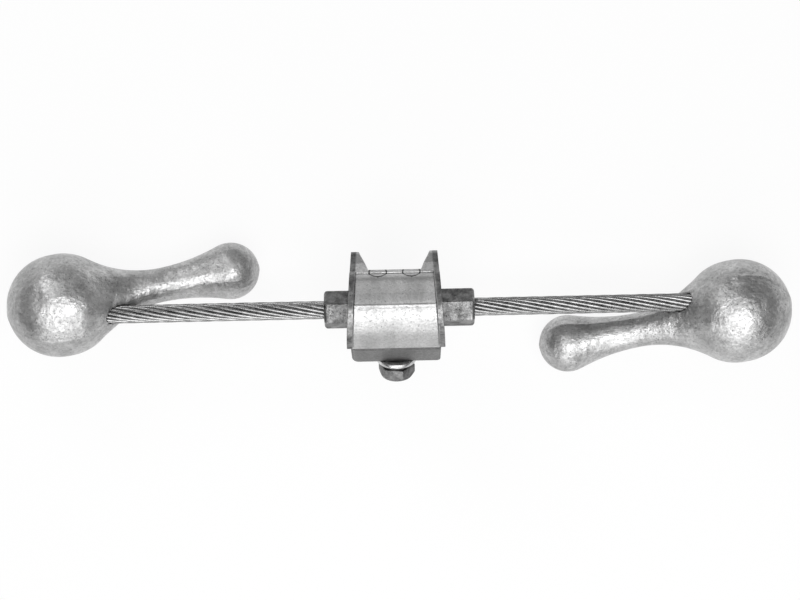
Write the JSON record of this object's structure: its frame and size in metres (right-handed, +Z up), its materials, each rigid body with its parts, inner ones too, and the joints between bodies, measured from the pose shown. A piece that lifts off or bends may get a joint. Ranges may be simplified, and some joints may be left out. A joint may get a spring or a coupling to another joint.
{
  "type": "stockbridge vibration damper",
  "caption": "Vibration damper for an overhead conductor: dogbone weights on a stranded cable under a bolted hook clamp.",
  "frame": {"origin": "centre of the conductor groove, on the conductor's axis midway between the jaws' ends", "axes": "+X along the conductor and the messenger cable, +Z up from the messenger to the conductor, the bolt's head on the -Y side"},
  "size_m": [0.473, 0.0862, 0.1109],
  "materials": {
    "strand_wire": "galvanised drawn wire",
    "galvanised_iron": "hot dip galvanised casting",
    "cast_aluminium": "as cast, satin",
    "galvanised_bolt": "galvanised",
    "washer_steel": "bright galvanised"
  },
  "bodies": {
    "root": {"king_wire": "strand_wire", "inner_wire_1": "strand_wire", "inner_wire_2": "strand_wire", "inner_wire_3": "strand_wire", "inner_wire_4": "strand_wire", "inner_wire_5": "strand_wire", "inner_wire_6": "strand_wire", "outer_wire_01": "strand_wire", "outer_wire_02": "strand_wire", "outer_wire_03": "strand_wire", "outer_wire_04": "strand_wire", "outer_wire_05": "strand_wire", "outer_wire_06": "strand_wire", "outer_wire_07": "strand_wire", "outer_wire_08": "strand_wire", "outer_wire_09": "strand_wire", "outer_wire_10": "strand_wire", "outer_wire_11": "strand_wire", "outer_wire_12": "strand_wire", "left_weight": "galvanised_iron", "right_weight": "galvanised_iron", "clamp_body": "cast_aluminium", "keeper": "cast_aluminium", "clamp_bolt": "galvanised_bolt", "spring_washer": "galvanised_bolt", "flat_washer": "washer_steel"}
  },
  "joints": []
}
